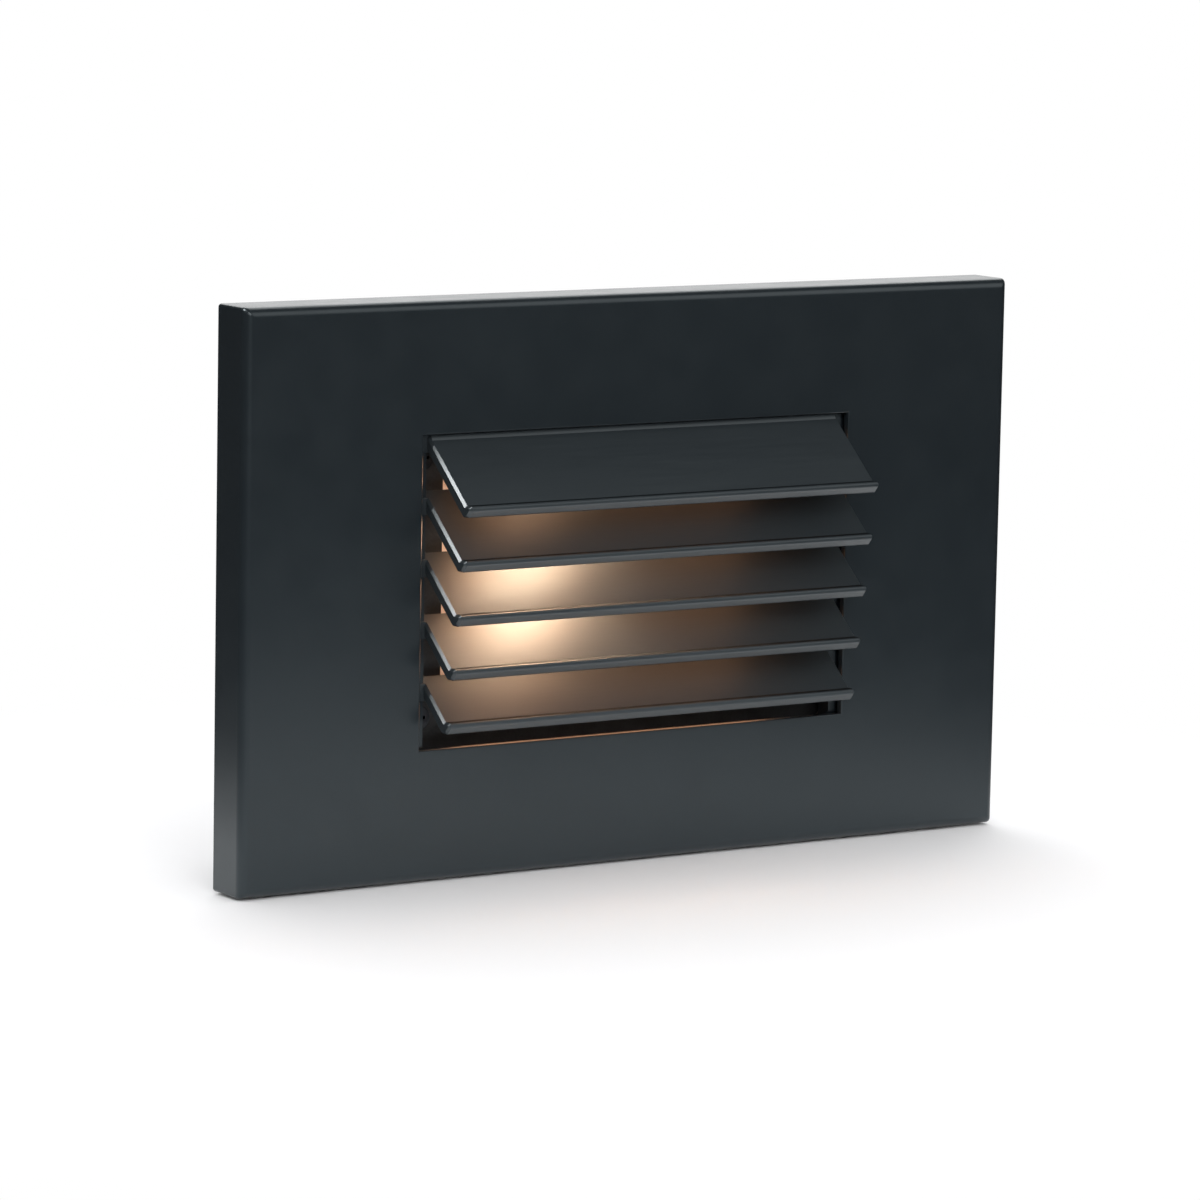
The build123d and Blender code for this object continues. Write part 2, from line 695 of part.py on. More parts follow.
# ---------------------------------------------------------------- reflector
mouth_w = ledge_w - 2 * (reflector_room + reflector_wall)
mouth_h = ledge_h - 2 * (reflector_room + reflector_wall)
funnel_depth = reflector_depth - reflector_wall
flare_in = 2 * funnel_depth * tan(radians(reflector_flare))
with BuildPart() as reflector:
    with BuildSketch(at_y(led_board_front)):
        Rectangle(led_board_w, led_board_h)
    extrude(amount=reflector_wall)
    for grow, mode in ((2 * reflector_wall, Mode.ADD), (0, Mode.SUBTRACT)):
        with BuildSketch(at_y(reflector_mouth)):
            Rectangle(mouth_w + grow, mouth_h + grow)
        with BuildSketch(at_y(reflector_mouth + funnel_depth)):
            Rectangle(mouth_w + grow - flare_in, mouth_h + grow - flare_in)
        loft(ruled=True, mode=mode)
    with BuildSketch(at_y(led_board_front)):
        Rectangle(mouth_w - flare_in, mouth_h - flare_in)
        with Locations(*board_points):
            Circle(pan_m2[2] + slide_clear)
        with Locations((0, -link_z)):
            Rectangle(link_w, link_h)
    extrude(amount=reflector_wall, mode=Mode.SUBTRACT)

reflector.part.label = "reflector"
export_step(reflector.part, "parts/reflector.step")

# ---------------------------------------------------------------- light-emitting board
pin_hole = link_pin + 2 * thread_clear
link_pins = [((i - (link_pin_count - 1) / 2) * link_pin_pitch, -link_z) for i in range(link_pin_count)]
with BuildPart() as led_board:
    with BuildSketch(at_y(led_board_back)):
        Rectangle(led_board_w, led_board_h)
        with Locations(*board_points):
            Circle(pan_m2[2] + slide_clear, mode=Mode.SUBTRACT)
        with Locations(*link_pins):
            Rectangle(pin_hole, pin_hole, mode=Mode.SUBTRACT)
    extrude(amount=board_t)

led_board.part.label = "led_board"
export_step(led_board.part, "parts/led_board.step")

with BuildPart() as led_chips:
    with BuildSketch(at_y(led_board_front)):
        with GridLocations(led_pitch_x, led_pitch_z, led_cols, led_rows):
            Rectangle(led_w, led_h)
    extrude(amount=led_t)
    with BuildSketch(at_y(led_board_front - led_t)):
        with GridLocations(led_pitch_x, led_pitch_z, led_cols, led_rows):
            Rectangle(led_cell_w, led_cell_h)
    extrude(amount=-led_cell_depth, mode=Mode.SUBTRACT)

led_chips.part.label = "led_chips"
export_step(led_chips.part, "parts/led_chips.step")

with BuildPart() as thermal_pad:
    with BuildSketch(at_y(bulkhead_front)):
        Rectangle(led_board_w, led_board_h)
        with Locations(*board_points):
            Circle(pan_m2[2] + slide_clear, mode=Mode.SUBTRACT)
        with Locations((0, -link_z)):
            Rectangle(link_w + 2 * slide_clear, link_h + 2 * slide_clear, mode=Mode.SUBTRACT)
    extrude(amount=pad_t)

thermal_pad.part.label = "thermal_pad"
export_step(thermal_pad.part, "parts/thermal_pad.step")

with BuildPart() as led_board_screws:
    led_screw_seat = led_board_front - reflector_wall
    led_screw_length = bulkhead_front + led_screw_bite - led_screw_seat - hole_spare
    add(pan_screws(board_points, led_screw_seat, pan_m2, led_screw_length, 1))

led_board_screws.part.label = "led_board_screws"
export_step(led_board_screws.part, "parts/led_board_screws.step")

# ---------------------------------------------------------------- board-to-board link
with BuildPart() as link_header:
    with BuildSketch(at_y(driver_board_front)):
        with Locations((0, -link_z)):
            Rectangle(link_w, link_h)
    extrude(amount=driver_board_front - led_board_back)
    with BuildSketch(at_y(driver_board_back + link_pin_stub)):
        with Locations(*link_pins):
            Rectangle(link_pin, link_pin)
    extrude(amount=driver_board_back - led_board_front + 2 * link_pin_stub)

link_header.part.label = "link_header"
export_step(link_header.part, "parts/link_header.step")

# ---------------------------------------------------------------- driver board
with BuildPart() as driver_board:
    with BuildSketch(at_y(driver_board_back)):
        Rectangle(driver_board_w, driver_board_h)
        with Locations(*board_points):
            Circle(pan_m2[2] + slide_clear, mode=Mode.SUBTRACT)
        with Locations(*link_pins):
            Rectangle(pin_hole, pin_hole, mode=Mode.SUBTRACT)
    extrude(amount=board_t)

driver_board.part.label = "driver_board"
export_step(driver_board.part, "parts/driver_board.step")

with BuildPart() as driver_board_screws:
    add(pan_screws(board_points, driver_board_back, pan_m2, board_t + driver_screw_bite - hole_spare, -1))

driver_board_screws.part.label = "driver_board_screws"
export_step(driver_board_screws.part, "parts/driver_board_screws.step")

# Transformer: a ferrite core round a flanged bobbin, wound between the core's legs
with BuildPart() as driver_transformer:
    core_front = driver_board_back + bobbin_t
    with BuildSketch(at_y(core_front)):
        with Locations(transformer_spot):
            Rectangle(bobbin_w, bobbin_h)
    extrude(amount=bobbin_t)
    with BuildSketch(at_y(core_front + core_t)):
        with Locations(transformer_spot):
            Rectangle(core_w, core_h)
            Rectangle(core_w - 2 * core_leg_w, winding_window_h, mode=Mode.SUBTRACT)
    extrude(amount=core_t)
    with BuildSketch(at_y(core_front + winding_t)):
        with Locations(transformer_spot):
            RectangleRounded(winding_w, winding_h, winding_r)
    extrude(amount=winding_t)

driver_transformer.part.label = "driver_transformer"
export_step(driver_transformer.part, "parts/driver_transformer.step")

# Three standing capacitors
with BuildPart() as driver_capacitors:
    with BuildSketch(at_y(driver_board_back)):
        with Locations(*capacitor_spots):
            Circle(capacitor_r)
    extrude(amount=-capacitor_t)
    tops = driver_capacitors.faces().filter_by(Axis.Y).group_by(Axis.Y)[-1]
    chamfer(tops.edges(), capacitor_bevel)

driver_capacitors.part.label = "driver_capacitors"
export_step(driver_capacitors.part, "parts/driver_capacitors.step")

# Filter inductor: a drum core with a waist
with BuildPart() as driver_inductor:
    drum_middle = drum_t - 2 * drum_rim
    with BuildSketch(at_y(driver_board_back)):
        with Locations(drum_spot):
            Circle(drum_waist_r)
    extrude(amount=-drum_t)
    for rim_front in (driver_board_back, driver_board_back + drum_rim + drum_middle):
        with BuildSketch(at_y(rim_front)):
            with Locations(drum_spot):
                Circle(drum_r)
        extrude(amount=-drum_rim)

driver_inductor.part.label = "driver_inductor"
export_step(driver_inductor.part, "parts/driver_inductor.step")

# Control chip and bridge rectifier
with BuildPart() as driver_chips:
    with BuildSketch(at_y(driver_board_back)):
        with Locations(chip_spot):
            Rectangle(chip_w, chip_h)
        with Locations(bridge_spot):
            Rectangle(chip_w, chip_h)
    extrude(amount=-chip_t)
    tops = driver_chips.faces().filter_by(Axis.Y).group_by(Axis.Y)[-1]
    chamfer(tops.edges(), chip_bevel)

driver_chips.part.label = "driver_chips"
export_step(driver_chips.part, "parts/driver_chips.step")

# ---------------------------------------------------------------- supply terminal block
with BuildPart() as supply_terminal_block:
    terminal_back = driver_board_back + terminal_t
    with BuildSketch(at_y(terminal_back)):
        with Locations((-grommet_x, 0)):
            Rectangle(terminal_w, terminal_h)
    extrude(amount=terminal_t)
    # Wells over the clamping screws, and the wire entries beside them
    with BuildSketch(at_y(terminal_back)):
        with Locations((-grommet_x - terminal_well_x, 0)):
            with GridLocations(0, terminal_h / terminal_ways, 1, terminal_ways):
                Circle(terminal_well_r)
        with Locations((-grommet_x + terminal_entry_x, 0)):
            with GridLocations(0, terminal_h / terminal_ways, 1, terminal_ways):
                Rectangle(terminal_entry_w, terminal_entry_h)
    extrude(amount=terminal_depth, mode=Mode.SUBTRACT)

supply_terminal_block.part.label = "supply_terminal_block"
export_step(supply_terminal_block.part, "parts/supply_terminal_block.step")

# ---------------------------------------------------------------- rear gasket and cover
with BuildPart() as rear_gasket:
    with BuildSketch(at_y(cover_front)):
        RectangleRounded(can_w, can_h, can_corner_r)
        Rectangle(chamber_w + slide_clear, chamber_h + slide_clear, mode=Mode.SUBTRACT)
    extrude(amount=rear_gasket_t)

rear_gasket.part.label = "rear_gasket"
export_step(rear_gasket.part, "parts/rear_gasket.step")

with BuildPart() as rear_cover:
    with BuildSketch(at_y(cover_back)):
        RectangleRounded(can_w, can_h, can_corner_r)
    extrude(amount=cover_t)
    # Stiffening ribs between the cable entry and the earth point, and the earth boss
    with BuildSketch(at_y(cover_back + cover_rib_h)):
        with GridLocations(fin_pitch, 0, cover_rib_count, 1):
            Rectangle(cover_rib_w, chamber_h - 2 * can_wall)
    extrude(amount=cover_rib_h)
    with BuildSketch(at_y(cover_back + earth_boss_h)):
        with Locations((earth_x, 0)):
            Circle(earth_boss_r)
    extrude(amount=earth_boss_h)
    with BuildSketch(at_y(cover_back)):
        with Locations((-grommet_x, 0)):
            Circle(grommet_hole_r)
        with Locations(*cover_points):
            Circle(pan_m25[2] + 2 * thread_clear)
    extrude(amount=cover_t, mode=Mode.SUBTRACT)
    earth_bite = earth_boss_h + cover_t - blind_floor
    with BuildSketch(at_y(cover_back + earth_boss_h)):
        with Locations((earth_x, 0)):
            Circle(pan_earth[2] + thread_clear)
    extrude(amount=earth_bite, mode=Mode.SUBTRACT)

rear_cover.part.label = "rear_cover"
export_step(rear_cover.part, "parts/rear_cover.step")

with BuildPart() as rear_cover_screws:
    add(pan_screws(cover_points, cover_back, pan_m25, cover_t + cover_screw_bite - hole_spare, -1))

rear_cover_screws.part.label = "rear_cover_screws"
export_step(rear_cover_screws.part, "parts/rear_cover_screws.step")

# ---------------------------------------------------------------- cable grommet
# Section: inner lip, groove that grips the cover, then the tapered outer lip
with BuildPart() as cable_grommet:
    with BuildSketch(at_y(cover_front)):
        with Locations((-grommet_x, 0)):
            Circle(grommet_lip_r)
    extrude(amount=grommet_lip_t)
    with BuildSketch(at_y(cover_front)):
        with Locations((-grommet_x, 0)):
            Circle(grommet_hole_r - thread_clear)
    extrude(amount=-cover_t)
    with BuildSketch(at_y(cover_back)):
        with Locations((-grommet_x, 0)):
            Circle(grommet_lip_r)
    extrude(amount=-grommet_lip_t)
    rim = cable_grommet.faces().sort_by(Axis.Y)[-1]
    chamfer(rim.edges(), grommet_taper)
    with BuildSketch(at_y(cover_front - grommet_lip_t)):
        with Locations((-grommet_x, 0)):
            Circle(grommet_bore_r)
    extrude(amount=-(cover_t + 2 * grommet_lip_t), mode=Mode.SUBTRACT)

cable_grommet.part.label = "cable_grommet"
export_step(cable_grommet.part, "parts/cable_grommet.step")

# ---------------------------------------------------------------- earth screw
with BuildPart() as earth_screw:
    add(pan_screws([(earth_x, 0)], cover_back + earth_boss_h, pan_earth, earth_bite - hole_spare, -1))

earth_screw.part.label = "earth_screw"
export_step(earth_screw.part, "parts/earth_screw.step")
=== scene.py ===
"""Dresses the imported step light: finishes, threaded screws, studio and the photograph's camera.

Everything is in metres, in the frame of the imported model: X right, Y into the wall, Z up.
"""
import json
from math import cos, pi, sin, tau

import bmesh
import bpy
from mathutils import Matrix, Vector


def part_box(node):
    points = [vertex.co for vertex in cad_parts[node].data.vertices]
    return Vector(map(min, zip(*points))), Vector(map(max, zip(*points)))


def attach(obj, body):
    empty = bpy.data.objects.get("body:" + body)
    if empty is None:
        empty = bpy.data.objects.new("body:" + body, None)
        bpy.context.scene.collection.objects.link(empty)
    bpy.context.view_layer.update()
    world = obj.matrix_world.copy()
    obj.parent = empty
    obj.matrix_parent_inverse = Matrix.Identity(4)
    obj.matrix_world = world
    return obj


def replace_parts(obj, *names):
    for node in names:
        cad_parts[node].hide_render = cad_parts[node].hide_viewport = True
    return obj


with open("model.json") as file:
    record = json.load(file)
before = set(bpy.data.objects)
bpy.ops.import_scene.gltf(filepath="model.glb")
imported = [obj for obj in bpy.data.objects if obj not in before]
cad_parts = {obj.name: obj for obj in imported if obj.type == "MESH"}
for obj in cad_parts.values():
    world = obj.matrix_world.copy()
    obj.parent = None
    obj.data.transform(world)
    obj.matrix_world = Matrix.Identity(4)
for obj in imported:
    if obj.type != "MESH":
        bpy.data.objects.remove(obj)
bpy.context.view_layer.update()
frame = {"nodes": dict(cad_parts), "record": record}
NODES = frame["nodes"]
MM = 0.001

# ---------------------------------------------------------------- places, from the frame
WALL = 0.0  # Y of the wall plane
PLATE_LOW, PLATE_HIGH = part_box("faceplate")
PLATE_MIDDLE = (PLATE_LOW + PLATE_HIGH) / 2
PLATE_BACK = Vector((PLATE_MIDDLE.x, PLATE_HIGH.y, PLATE_MIDDLE.z))
LENS_LOW, LENS_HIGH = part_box("lens")
LENS_MIDDLE = (LENS_LOW + LENS_HIGH) / 2
SCREWS_LOW, SCREWS_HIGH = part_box("junction_box_screws")

# ---------------------------------------------------------------- camera, fitted to the plate's corners
CAMERA_YAW = 0.584399  # radians, from straight on towards the left
CAMERA_PITCH = 0.139774  # radians above level
CAMERA_ROLL = 0.018641
CAMERA_DISTANCE = 808.469 * MM  # from the middle of the plate's back
CAMERA_RIGHT = -1.29 * MM  # shift to the camera's own right, and upwards
CAMERA_UP = -3.949 * MM
CAMERA_LENS = 172.37  # millimetres, on the sensor below
CAMERA_SENSOR = 36.0
CAMERA_NEAR = 10 * MM

# ---------------------------------------------------------------- studio
FLOOR_DROP = 0.3 * MM  # floor below the plate's lower edge
FLOOR_SIZE = 12.0
FLOOR_COLOUR = (0.92, 0.92, 0.93)
FLOOR_LEFT = 20 * MM  # middle of the lit patch of floor, left of the plate's middle
FLOOR_FORWARD = 25 * MM  # and in front of it
FLOOR_NEAR = 75 * MM  # out to this radius the floor is a plain lit surface
FLOOR_FAR = 180 * MM  # and from this one on it is plain white
FLOOR_FAR_BOUNCE = 0.04  # strength of that white, except where the camera sees it
WORLD_FILL = 0.94  # even light on all matt surfaces
WORLD_DARK = (0.015, 0.018, 0.019)
WORLD_WINDOW = (1.20, 1.20, 1.20)
WINDOW_DIRECTION = (0.55, 0.82, 0.14)  # behind the light and to its right
WINDOW_EDGE = 0.80  # cosine of the half angle at which the window has faded out
WINDOW_FULL = 0.95  # and of the one within which it is full
LAMPS = (  # name, direction from the plate, distance and width in metres, watts, sheens only
    ("overhead", (0.30, 0.58, 0.76), 0.90, 0.75, 3.2, False),
    ("front_left", (-0.35, -0.85, 0.41), 0.95, 0.50, 2.8, False),
    ("blade_ends", (-0.64, 0.06, 0.76), 0.80, 0.16, 5.0, True),
    ("upper_edges", (0.55, -0.70, 0.46), 0.90, 0.60, 1.3, True),
)

# ---------------------------------------------------------------- shader helpers
NOISE_LOW = 0.3  # nearly all of a noise texture's values lie between these two
NOISE_HIGH = 0.7
CLOUD_GRAINS = 9  # width of a mottled finish's clouds, in grains


class Nodes:
    """Short calls for the shader nodes of one tree."""

    def __init__(self, tree):
        self.tree = tree

    def add(self, kind, **settings):
        node = self.tree.nodes.new(kind)
        for setting, value in settings.items():
            setattr(node, setting, value)
        return node

    def link(self, source, target):
        """Feeds a socket from another one, or sets it where the source is a plain value."""
        if isinstance(source, bpy.types.NodeSocket):
            self.tree.links.new(source, target)
        else:
            target.default_value = source

    def math(self, operation, first, second=0.0):
        node = self.add("ShaderNodeMath", operation=operation)
        self.link(first, node.inputs[0])
        self.link(second, node.inputs[1])
        return node.outputs[0]

    def vector(self, operation, first, second=None, output="Vector"):
        node = self.add("ShaderNodeVectorMath", operation=operation)
        self.link(first, node.inputs[0])
        if second is not None:
            self.link(second, node.inputs[1])
        return node.outputs[output]

    def axis(self, vector, letter):
        """The X, Y or Z part of a vector."""
        node = self.add("ShaderNodeSeparateXYZ")
        self.link(vector, node.inputs[0])
        return node.outputs[letter]

    def between(self, factor, low, high, start=NOISE_LOW, stop=NOISE_HIGH):
        """Goes smoothly from low to high while the factor goes from start to stop."""
        node = self.add("ShaderNodeMapRange", interpolation_type="SMOOTHSTEP")
        self.link(factor, node.inputs["Value"])
        node.inputs["From Min"].default_value = start
        node.inputs["From Max"].default_value = stop
        node.inputs["To Min"].default_value = low
        node.inputs["To Max"].default_value = high
        return node.outputs["Result"]

    def blend(self, factor, first, second):
        """Mixes two colours; each is a tuple or a socket."""
        node = self.add("ShaderNodeMix", data_type="RGBA")
        self.link(factor, node.inputs["Factor"])
        for value, socket in ((first, "A"), (second, "B")):
            self.link((*value, 1.0) if isinstance(value, tuple) else value, node.inputs[socket])
        return node.outputs["Result"]

    def mix_shaders(self, factor, first, second):
        node = self.add("ShaderNodeMixShader")
        for source, socket in zip((factor, first, second), node.inputs):
            self.link(source, socket)
        return node.outputs[0]


class Finish(Nodes):
    """A material with a Principled shader; values that are the same all over are given by name."""

    def __init__(self, name, **sockets):
        self.material = bpy.data.materials.new(name)
        self.material.use_nodes = True
        super().__init__(self.material.node_tree)
        self.shader = self.tree.nodes["Principled BSDF"]
        self.place = self.add("ShaderNodeTexCoord").outputs["Object"]
        for socket, value in sockets.items():
            self.shader.inputs[socket.replace("_", " ")].default_value = value

    def stretched(self, factors):
        """Object coordinates, squeezed so that a texture runs long in one direction."""
        return self.vector("MULTIPLY", self.place, factors)

    def noise(self, size, detail=3.0, place=None):
        node = self.add("ShaderNodeTexNoise")
        self.link(place or self.place, node.inputs["Vector"])
        node.inputs["Scale"].default_value = 1 / size
        node.inputs["Detail"].default_value = detail
        return node.outputs["Fac"]

    def cells(self, size, feature="F1"):
        node = self.add("ShaderNodeTexVoronoi", feature=feature)
        self.link(self.place, node.inputs["Vector"])
        node.inputs["Scale"].default_value = 1 / size
        return node.outputs["Distance"]

    def feed(self, socket, source):
        self.link(source, self.shader.inputs[socket])

    def colour(self, source):
        self.feed("Base Color", source)

    def roughness(self, source):
        self.feed("Roughness", source)

    def bump(self, height, depth, strength=1.0):
        node = self.add("ShaderNodeBump")
        self.link(height, node.inputs["Height"])
        node.inputs["Distance"].default_value = depth
        node.inputs["Strength"].default_value = strength
        self.feed("Normal", node.outputs["Normal"])


def mottled(name, tones, gloss, grain, depth, **sockets):
    """A moulded, cast or coated finish: two tones, two roughnesses and a fine bump."""
    finish = Finish(name, **sockets)
    coarse = finish.noise(grain * CLOUD_GRAINS)
    fine = finish.noise(grain)
    finish.colour(finish.blend(finish.between(coarse, 0.0, 1.0), *tones))
    finish.roughness(finish.between(fine, *gloss))
    finish.bump(fine, depth)
    return finish


# ---------------------------------------------------------------- paint
PAINT_TINT = (0.80, 0.95, 1.0, 1.0)  # of the paint's reflections

# The blades' paint: satin on the slopes, dull and darkened with painted shade on the level lips along
# their fronts, and glossier underneath. What is level or underneath goes by the upward part of the
# surface's normal.
SLOPE_COAT = 0.35
SLOPE_SPECULAR = 0.5
# painted shade: the level lips' colour is darker than the slopes' paint
LIP_PAINTED_SHADE = (0.010, 0.013, 0.015)
LIP_ROUGHNESS = 0.9
LIP_SPECULAR = 0.05
LIP_TILTED = 0.80  # the dull paint, with its painted shade, begins here
LIP_LEVEL = 0.97  # and is full here
UNDERSIDE_COAT = 0.65  # on top of the slope's
UNDERSIDE_TILTED = -0.05  # this coat begins here
UNDERSIDE_FULL = -0.30


def dark_paint():
    """Satin paint on the plate and frame: near-black blue-green grey with a faint orange peel."""
    finish = Finish("dark_paint", Coat_Weight=0.30, Coat_Roughness=0.22, Specular_Tint=PAINT_TINT)
    cloud = finish.noise(14 * MM)
    peel = finish.noise(0.9 * MM, detail=2.0)
    finish.colour(finish.blend(cloud, (0.0100, 0.0140, 0.0175), (0.0128, 0.0172, 0.0210)))
    finish.roughness(finish.between(finish.noise(5 * MM), 0.30, 0.36))
    finish.bump(peel, 0.006 * MM)
    return finish


def blade_paint():
    """Paint on the drawn blades, a little lighter, with fine streaks along them and painted shade on
    their level lips.
    """
    finish = Finish("blade_paint", Coat_Roughness=0.25, Specular_Tint=PAINT_TINT)
    streaks = finish.noise(0.25 * MM, place=finish.stretched((0.025, 1.0, 1.0)))
    paint = finish.blend(streaks, (0.0190, 0.0240, 0.0280), (0.0260, 0.0320, 0.0365))
    satin = finish.between(streaks, 0.40, 0.50)
    facing_up = finish.axis(finish.add("ShaderNodeNewGeometry").outputs["Normal"], "Z")
    level = finish.between(facing_up, 0.0, 1.0, LIP_TILTED, LIP_LEVEL)
    coat = finish.between(level, SLOPE_COAT, 0.0, 0.0, 1.0)
    underside = finish.between(facing_up, UNDERSIDE_COAT, 0.0, UNDERSIDE_FULL, UNDERSIDE_TILTED)
    # painted shade: level faces take the darker lip colour
    finish.colour(finish.blend(level, paint, LIP_PAINTED_SHADE))
    finish.roughness(finish.blend(level, satin, (LIP_ROUGHNESS,) * 3))
    finish.feed("Specular IOR Level", finish.between(level, SLOPE_SPECULAR, LIP_SPECULAR, 0.0, 1.0))
    finish.feed("Coat Weight", finish.math("ADD", coat, underside))
    finish.bump(streaks, 0.004 * MM)
    return finish


# ---------------------------------------------------------------- metals
def plated_steel(name, tones, gloss):
    """Screws: plating over turned metal, a little cloudy, with fine tool marks."""
    finish = Finish(name, Metallic=1.0)
    marks = finish.noise(0.25 * MM, place=finish.stretched((1.0, 0.2, 1.0)))
    finish.colour(finish.blend(finish.between(finish.noise(1.6 * MM), 0.0, 1.0), *tones))
    finish.roughness(finish.between(marks, *gloss))
    finish.bump(marks, 0.006 * MM)
    return finish


def bright_steel():
    return plated_steel("bright_steel", ((0.46, 0.47, 0.48), (0.62, 0.62, 0.60)), (0.24, 0.38))


def dark_steel():
    return plated_steel("dark_steel", ((0.030, 0.032, 0.036), (0.055, 0.058, 0.064)), (0.32, 0.46))


def earth_green():
    return plated_steel("earth_green", ((0.035, 0.21, 0.06), (0.07, 0.30, 0.10)), (0.28, 0.42))


def cast_aluminium():
    """Bare die casting: matt grey with a rough skin and soft flow clouds."""
    finish = Finish("cast_aluminium", Metallic=0.85)
    clouds = finish.noise(9 * MM, detail=5.0)
    skin = finish.noise(0.5 * MM, detail=4.0)
    finish.colour(finish.blend(clouds, (0.40, 0.41, 0.42), (0.46, 0.47, 0.48)))
    finish.roughness(finish.between(clouds, 0.47, 0.55))
    finish.bump(skin, 0.03 * MM, strength=0.7)
    return finish


# ---------------------------------------------------------------- lit parts
HOT_SPOT = LENS_MIDDLE + Vector((-12.0 * MM, 0.0, 5.5 * MM))
HOT_SPOT_WIDTH = 7.3 * MM  # from its middle to where it has half its strength, sideways
HOT_SPOT_HEIGHT = 7.5 * MM  # and upwards
HOT_SPOT_SHARPNESS = 3.0  # how steeply it fades there
LENS_COLOUR = (1.0, 0.70, 0.47)
LENS_EDGE_COLOUR = (1.0, 0.46, 0.23)
LENS_GLOW = 262.0  # emission strength that the hot spot adds
LENS_EDGE_GLOW = 8.0  # emission strength without it
LENS_LIT = 24 * MM  # the lens is fully lit out to here, left and right of its middle
LENS_DIM = 28 * MM  # and has faded here, in front of the reflector's rim
LENS_MARGIN = 0.04  # to this share


def frosted_lens():
    """Lit frosted glass: a warm hot spot over a dimmer ground, which fades at its ends.

    Like real frosted glass, it glows less towards a grazing direction.
    """
    finish = Finish("frosted_lens", Roughness=0.35)
    offset = finish.vector("SUBTRACT", finish.place, HOT_SPOT)
    spread = finish.vector("DIVIDE", offset, (HOT_SPOT_WIDTH, 1.0, HOT_SPOT_HEIGHT))
    distance = finish.vector("LENGTH", spread, output="Value")
    halvings = finish.math("POWER", distance, HOT_SPOT_SHARPNESS)
    fade = finish.math("POWER", 2.0, finish.math("MULTIPLY", -1.0, halvings))
    frost = finish.noise(0.4 * MM)
    finish.colour(finish.blend(frost, (0.72, 0.68, 0.62), (0.82, 0.78, 0.72)))
    finish.feed("Emission Color", finish.blend(fade, LENS_EDGE_COLOUR, LENS_COLOUR))
    across = finish.math("SUBTRACT", finish.axis(finish.place, "X"), LENS_MIDDLE.x)
    ends = finish.between(finish.math("ABSOLUTE", across), 1.0, LENS_MARGIN, LENS_LIT, LENS_DIM)
    facing = finish.add("ShaderNodeLayerWeight").outputs["Facing"]
    grazing = finish.between(facing, 1.0, 0.0, 0.0, 1.0)
    glow = finish.math("ADD", finish.math("MULTIPLY", fade, LENS_GLOW), LENS_EDGE_GLOW)
    dimmed = finish.math("MULTIPLY", finish.math("MULTIPLY", glow, ends), grazing)
    finish.feed("Emission Strength", dimmed)
    finish.bump(frost, 0.02 * MM)
    return finish


def phosphor():
    """Lit emitters: yellow phosphor, grainy in its colour and in its glow."""
    finish = Finish("phosphor", Emission_Color=(1.0, 0.74, 0.45, 1.0))
    grain = finish.noise(0.3 * MM)
    finish.colour(finish.blend(grain, (0.85, 0.50, 0.10), (0.95, 0.66, 0.18)))
    finish.roughness(finish.between(grain, 0.35, 0.55))
    finish.feed("Emission Strength", finish.between(grain, 5.0, 8.0))
    finish.bump(grain, 0.01 * MM)
    return finish


# ---------------------------------------------------------------- plastics, rubbers and boards
def foam():
    """Closed-cell foam: small cells over a black ground."""
    finish = Finish("foam", Sheen_Weight=0.25)
    cells = finish.cells(0.35 * MM)
    finish.colour(finish.blend(cells, (0.010, 0.010, 0.011), (0.028, 0.028, 0.030)))
    finish.roughness(finish.between(cells, 0.95, 0.75))
    finish.bump(cells, 0.08 * MM)
    return finish


def green_board():
    """Solder mask with tracks just showing under it."""
    finish = Finish("green_board", Coat_Weight=0.4)
    tracks = finish.between(finish.cells(2.2 * MM, "DISTANCE_TO_EDGE"), 1.0, 0.0, 0.04, 0.09)
    finish.colour(finish.blend(tracks, (0.006, 0.085, 0.030), (0.020, 0.170, 0.070)))
    finish.roughness(finish.between(finish.noise(1.5 * MM), 0.30, 0.42))
    finish.bump(tracks, 0.02 * MM)
    return finish


def silicone():
    """Milky gasket that lets a little light in."""
    return mottled("silicone", ((0.55, 0.55, 0.53), (0.68, 0.68, 0.66)), (0.5, 0.7),
                   0.8 * MM, 0.02 * MM, Subsurface_Weight=0.2, Subsurface_Scale=1 * MM)


MOTTLED = {  # by material slot: two tones, two roughnesses, width of the grain, depth of the bump
    "bezel_paint": (((0.010, 0.011, 0.012), (0.018, 0.019, 0.021)),
                    (0.45, 0.62), 0.4 * MM, 0.02 * MM),
    "white_plastic": (((0.74, 0.74, 0.72), (0.84, 0.84, 0.82)),
                      (0.16, 0.28), 0.8 * MM, 0.006 * MM),
    "white_mask": (((0.66, 0.67, 0.66), (0.80, 0.80, 0.78)),
                   (0.32, 0.46), 0.5 * MM, 0.01 * MM),
    "thermal_grey": (((0.15, 0.16, 0.18), (0.20, 0.22, 0.24)),
                     (0.75, 0.92), 0.5 * MM, 0.03 * MM),
    "black_plastic": (((0.006, 0.006, 0.007), (0.012, 0.012, 0.013)),
                      (0.48, 0.62), 0.3 * MM, 0.015 * MM),
    "ferrite": (((0.012, 0.012, 0.013), (0.030, 0.030, 0.032)),
                (0.55, 0.72), 0.5 * MM, 0.04 * MM),
    "can_sleeve": (((0.010, 0.014, 0.070), (0.016, 0.022, 0.095)),
                   (0.26, 0.38), 0.6 * MM, 0.008 * MM),
    "terminal_green": (((0.010, 0.130, 0.045), (0.018, 0.175, 0.065)),
                       (0.34, 0.48), 0.5 * MM, 0.015 * MM),
    "black_rubber": (((0.010, 0.010, 0.010), (0.020, 0.020, 0.020)),
                     (0.62, 0.80), 0.35 * MM, 0.03 * MM),
}


def dress_nodes(finishes):
    """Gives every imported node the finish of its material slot; the blades have their own."""
    for part in frame["record"]["subparts"]:
        name = part["node"]
        slot = "blades" if name.startswith("louver_blade_") else part["material_slot"]
        materials = NODES[name].data.materials
        materials.clear()
        materials.append(finishes[slot].material)


